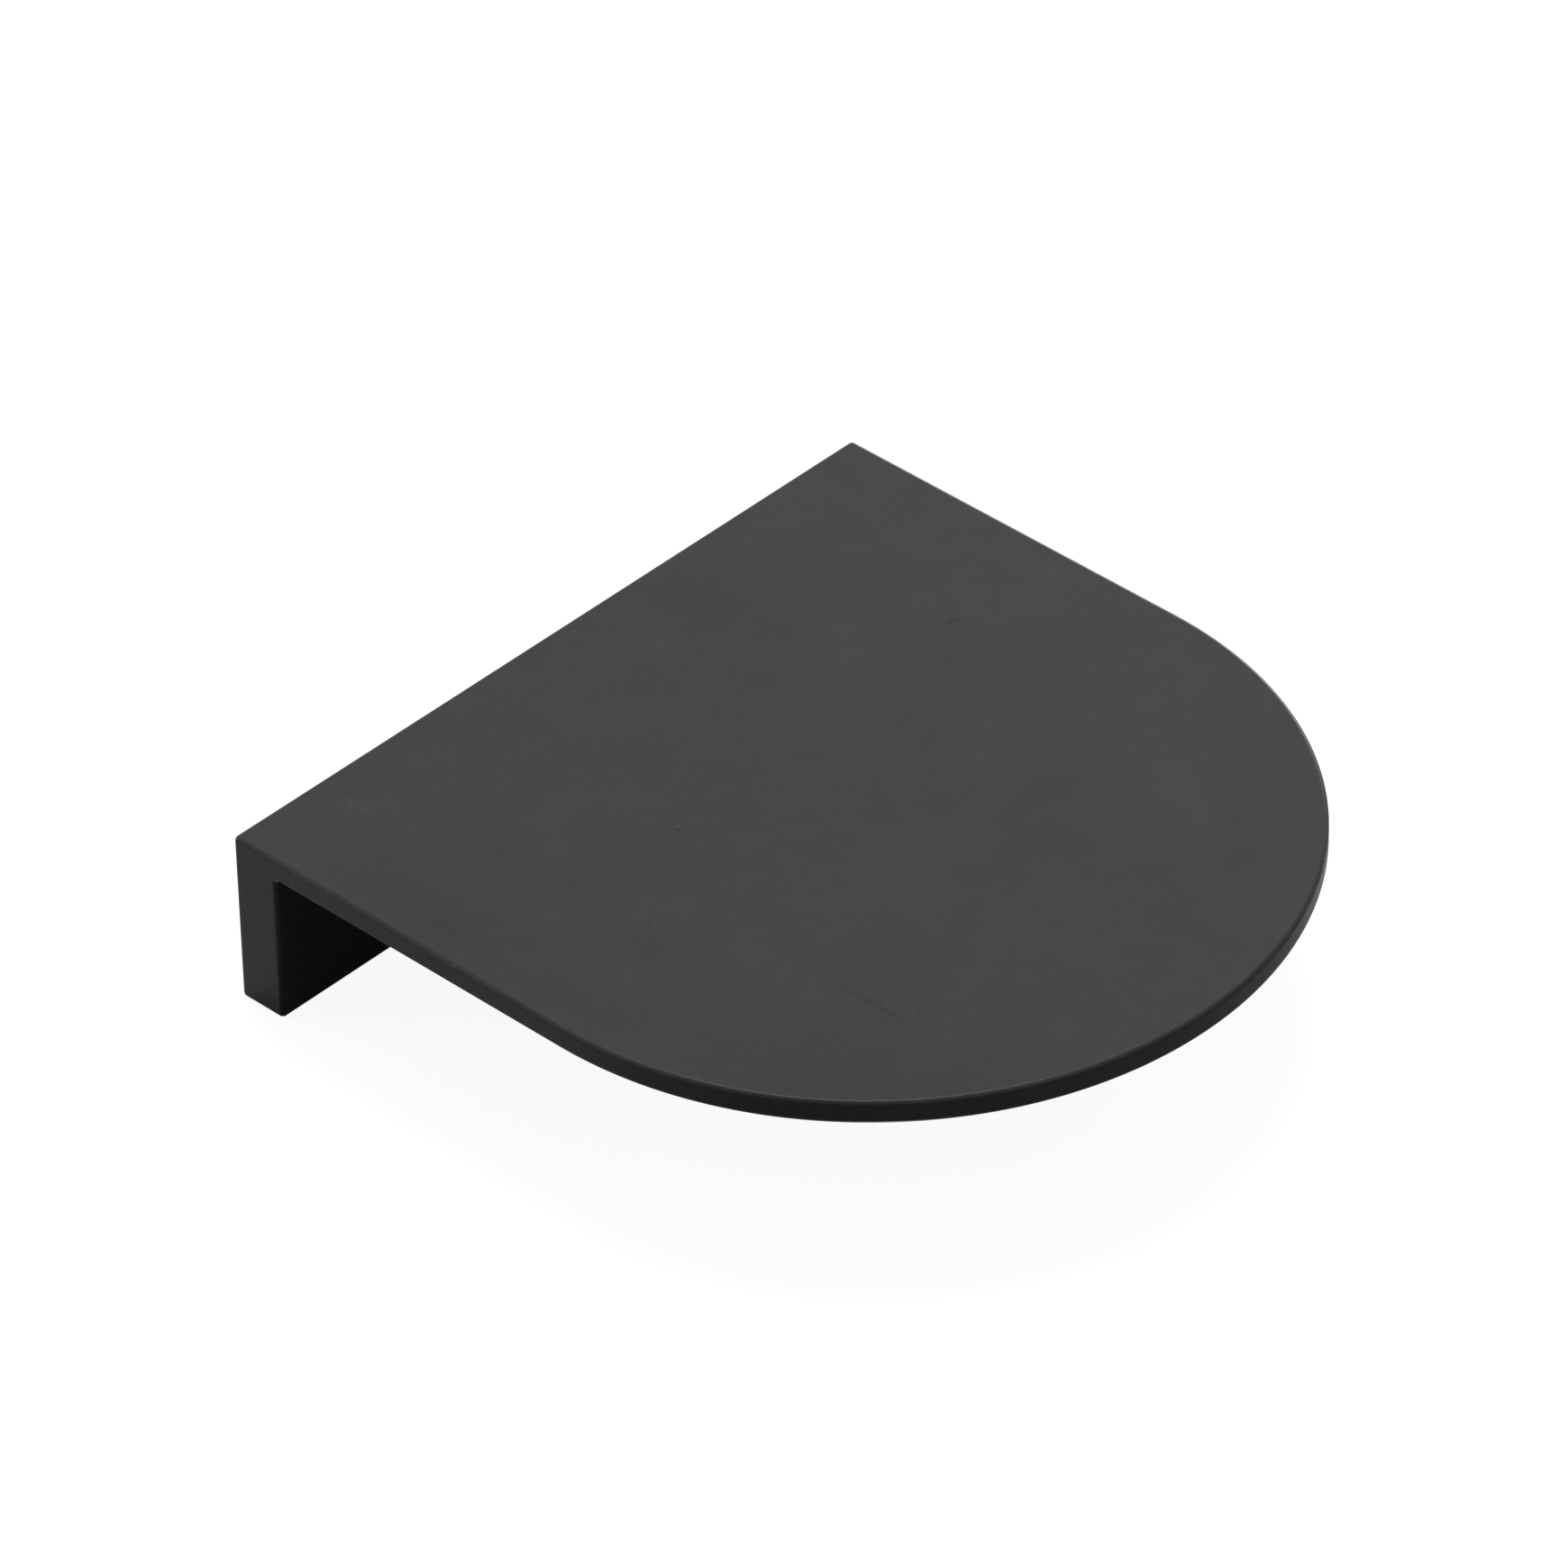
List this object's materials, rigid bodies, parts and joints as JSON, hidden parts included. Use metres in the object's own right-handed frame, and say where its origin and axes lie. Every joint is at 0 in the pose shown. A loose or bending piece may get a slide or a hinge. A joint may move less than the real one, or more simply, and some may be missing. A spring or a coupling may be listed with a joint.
{
  "type": "arch pull handle",
  "caption": "Flat cabinet pull: a thin plate with a straight back and a half-round nose, carried on a full-width foot with tapped holes for screws from behind.",
  "frame": {"origin": "middle of the foot's seating face, midway between the two screw holes", "axes": "+Z away from the door or drawer front towards the plate's outer face, +X along the straight back edge, nose towards -Y"},
  "size_m": [0.1, 0.1, 0.0225],
  "materials": {
    "black_coating": "fine matte black powder coat over aluminium"
  },
  "bodies": {
    "root": {"handle": "black_coating"}
  },
  "joints": []
}
